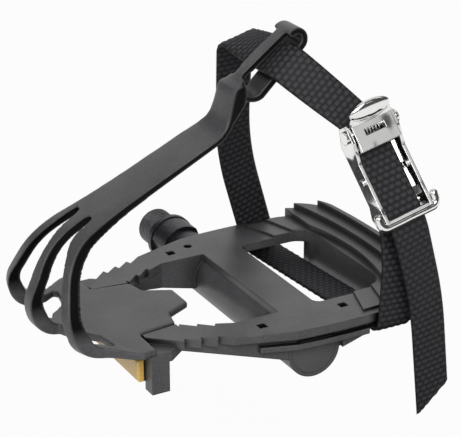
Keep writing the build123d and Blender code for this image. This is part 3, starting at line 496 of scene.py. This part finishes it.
# Buckle. A frame and a cam lever pressed from steel sheet, joined by a headed pin, with two rivets
# and a coiled spring. All are nickel plated, which gives a mirror. The sheet's slight waves and
# the soft edges that the press leaves bend what it shows.
handling_size = 3 * mm
plate_gloss = {"To Min": 0.05, "To Max": 0.14}
press_edge = 0.35 * mm
wave_size = 6 * mm
wave_relief = 0.5 * mm
nickel, tree, shader, place = finish_named("bright_nickel_plate", Metallic=1.0)
handling = add(tree, "ShaderNodeTexNoise", {"Scale": 1 / handling_size, "Detail": 5.0}, {"Vector": place})
gloss = add(tree, "ShaderNodeMapRange", plate_gloss, {"Value": handling.outputs["Fac"]})
tones = {"A": linear("#dededc"), "B": linear("#f2f2f0")}
tone = add(tree, "ShaderNodeMix", tones, {"Factor": handling.outputs["Fac"]}, data_type="RGBA")
edges = add(tree, "ShaderNodeBevel", {"Radius": press_edge}, samples=6)
waves = add(tree, "ShaderNodeTexNoise", {"Scale": 1 / wave_size, "Detail": 0.0}, {"Vector": place})
relief = {"Distance": wave_relief, "Strength": 0.7}
surface = {"Height": waves.outputs["Fac"], "Normal": edges.outputs["Normal"]}
pressed = add(tree, "ShaderNodeBump", relief, surface)
tree.links.new(tone.outputs["Result"], shader.inputs["Base Color"])
tree.links.new(gloss.outputs["Result"], shader.inputs["Roughness"])
tree.links.new(pressed.outputs["Normal"], shader.inputs["Normal"])
for node in ("buckle_frame", "buckle_lever", "buckle_pin", "buckle_rivet", "buckle_spring"):
    dress(node, nickel)

# Lower wire. A thick steel wire lies along the frame's lower bar, and its ends turn up outside
# the cheeks as two short ears. It is bent cold, pressed on and nickel plated with the frame.
wire_radius = 1.6
wire_heading_reach = 0.1
buckle_centre = np.array([-26.2, 107.3, 59.3])
buckle_axes = np.array(
    [
        [-0.975515, -0.017761, 0.219214],
        [0.196122, -0.521324, 0.830516],
        [0.099531, 0.853174, 0.512043],
    ]
)
# Corners in the buckle's own millimetres, with the columns of the strap's route
wire_route = np.array(
    [
        [-11.1, -11.2, 4.2, 0.0, 0.0, 0.0, 1.0],
        [-11.1, -16.4, 3.0, 2.2, 0.0, 0.0, 1.0],
        [11.1, -16.4, 3.0, 2.2, 0.0, 0.0, 1.0],
        [11.1, -11.2, 4.2, 0.0, 0.0, 0.0, 1.0],
    ]
)


def round_wire(path, radius, rings=200, turns=24):
    """A round wire along a path: at length s and angle a, p + r (u cos a + v sin a).

    p is the point at s, u and v cross the path, and r falls to zero as a dome at both ends.
    """
    known = lengths_along(path)
    along = np.linspace(0, known[-1], rings)
    heading = heading_at(along, known, path, wire_heading_reach)
    u = unit(np.cross(heading, np.array([0.0, 0.0, 1.0])))
    v = np.cross(heading, u)
    inset = np.clip(np.minimum(along, known[-1] - along) / radius, 0, 1)
    r = (radius * np.sqrt(1 - (1 - inset) ** 2))[:, None, None]
    a = np.linspace(0, 2 * np.pi, turns, endpoint=False)[None, :, None]
    return at_length(along, known, path)[:, None] + r * (u[:, None] * np.cos(a) + v[:, None] * np.sin(a))


wire = round_wire(route_lines(wire_route)[0], wire_radius)
lower_wire = closed_surface("lower_wire", wire @ buckle_axes + buckle_centre)
lower_wire.data.materials.append(nickel)
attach(lower_wire, "pedal_group")

# Thumb pad. The lever's tab is dished out by the press, so it stands up as a bright oval, with
# the nickel plate of the lever that it is part of.
pad_half_width = 7.9
pad_half_length = 3.9
pad_rise = 1.9
pad_place = np.array([0.0, 21.3, 9.7])
tab_angle = np.radians(42.0)


def oval_pad(half_width, half_length, rise, turns=64, rings=24):
    """A closed oval pad: at angle a and latitude b, (w cos a cos b, l sin a cos b, h sin b)."""
    a = np.linspace(0, 2 * np.pi, turns, endpoint=False)[None, :]
    b = np.linspace(-np.pi / 2, np.pi / 2, rings)[:, None]
    x = half_width * np.cos(a) * np.cos(b)
    y = half_length * np.sin(a) * np.cos(b)
    z = rise * np.sin(b) + 0 * a
    return np.stack([x, y, z], axis=-1)


pad = oval_pad(pad_half_width, pad_half_length, pad_rise)
tab_cos, tab_sin = np.cos(tab_angle), np.sin(tab_angle)
lean = np.array([[1, 0, 0], [0, tab_cos, tab_sin], [0, -tab_sin, tab_cos]])
thumb_pad = closed_surface("thumb_pad", (pad @ lean + pad_place) @ buckle_axes + buckle_centre)
thumb_pad.data.materials.append(nickel)
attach(thumb_pad, "lever_group")

# Studio. A white floor, a large soft light on the camera's side, weaker ones above, behind and
# beside, and a long lens well back, as for a catalogue picture of a small part.
target = Vector((1.25, 51.0, 27.3)) * mm
lens_place = Vector((290.0, 572.0, 286.5)) * mm
camera_data = bpy.data.cameras.new("lens")
camera_data.sensor_width = 36.0
camera_data.lens = 142.1
camera_data.clip_start = 0.05
camera = bpy.data.objects.new("lens", camera_data)
camera.location = lens_place
camera.rotation_euler = (target - lens_place).to_track_quat("-Z", "Y").to_euler()
bpy.context.scene.collection.objects.link(camera)
bpy.context.scene.camera = camera


def flat_stage(name, corners, material):
    """A flat four-sided stage piece through its corners in metres."""
    mesh = bpy.data.meshes.new(name)
    mesh.from_pydata(corners, [], [[0, 1, 2, 3]])
    mesh.materials.append(material)
    made = bpy.data.objects.new(name, mesh)
    bpy.context.scene.collection.objects.link(made)
    return made


# The floor lies below the circle that the clip sweeps about the spindle. Its paper glows for the
# camera and for reflections, and gives the pedal only a dim bounce.
floor_gap = 4.0 * mm
floor_level = -np.abs(np.array(cad_box))[:, [0, 2]].max() - floor_gap
floor_half = 8.0
paper_glow = 0.94
white_paper = bpy.data.materials.new("white_paper")
white_paper.use_nodes = True
tree = white_paper.node_tree
tree.nodes.clear()
bounce = add(tree, "ShaderNodeBsdfDiffuse", {"Color": linear("#8c8c8c")})
sheet = add(tree, "ShaderNodeBsdfDiffuse", {"Color": linear("#f6f6f6")})
glow = add(tree, "ShaderNodeEmission", {"Color": linear("#ffffff"), "Strength": 1.0})
shown = add(tree, "ShaderNodeMixShader", {0: paper_glow}, {1: sheet.outputs[0], 2: glow.outputs[0]})
ray = add(tree, "ShaderNodeLightPath").outputs
direct = {0: ray["Is Camera Ray"], 1: ray["Is Glossy Ray"]}
seen = add(tree, "ShaderNodeMath", links=direct, operation="MAXIMUM")
through = {0: seen.outputs[0], 1: ray["Is Transmission Ray"]}
seen = add(tree, "ShaderNodeMath", links=through, operation="MAXIMUM")
by_ray = {0: seen.outputs[0], 1: bounce.outputs[0], 2: shown.outputs[0]}
paper = add(tree, "ShaderNodeMixShader", links=by_ray)
add(tree, "ShaderNodeOutputMaterial", links={"Surface": paper.outputs[0]})
floor_corners = np.array([[-1, -1], [1, -1], [1, 1], [-1, 1]]) * floor_half
flat_stage("floor", np.column_stack([floor_corners, np.full(4, floor_level)]), white_paper)

# A black cloth that only reflections show, which draws the dark bands in bright metal
flag_corners = np.array(
    [[-0.24, 0.02, -0.1], [0.06, 0.02, -0.1], [0.06, 0.24, -0.1], [-0.24, 0.24, -0.1]]
)
black_cloth = finish_named("black_cloth", Base_Color=linear("#050505"), Roughness=0.9)[0]
flag = flat_stage("flag", flag_corners, black_cloth)
flag.visible_camera = False
flag.visible_diffuse = False
flag.visible_shadow = False


def soft_light(name, size, place, radiance):
    """A rectangular soft light whose face has one radiance, turned towards the pedal."""
    data = bpy.data.lights.new(name, "AREA")
    data.shape = "RECTANGLE"
    data.size, data.size_y = size
    data.energy = radiance * np.pi * size[0] * size[1]
    made = bpy.data.objects.new(name, data)
    made.location = place
    made.rotation_euler = (target - Vector(place)).to_track_quat("-Z", "Y").to_euler()
    bpy.context.scene.collection.objects.link(made)


soft_light("key", (1.2, 1.2), (0.5, 1.1, 0.9), 3.4)
soft_light("overhead", (1.3, 1.3), (-0.3, -0.3, 1.3), 0.7)
soft_light("back_panel", (3.0, 1.4), (-0.9, -1.7, 0.85), 0.9)
soft_light("fill_card", (0.22, 0.22), (-0.38, 1.0, 0.74), 0.6)
soft_light("front_card", (0.9, 0.9), (1.3, 0.1, 0.75), 1.6)
world = bpy.data.worlds.new("studio")
world.use_nodes = True
tree = world.node_tree
tree.nodes.clear()
sky = add(tree, "ShaderNodeBackground", {"Color": linear("#ffffff"), "Strength": 0.08})
add(tree, "ShaderNodeOutputWorld", links={"Surface": sky.outputs[0]})
bpy.context.scene.world = world
bpy.context.scene.view_settings.view_transform = "Standard"
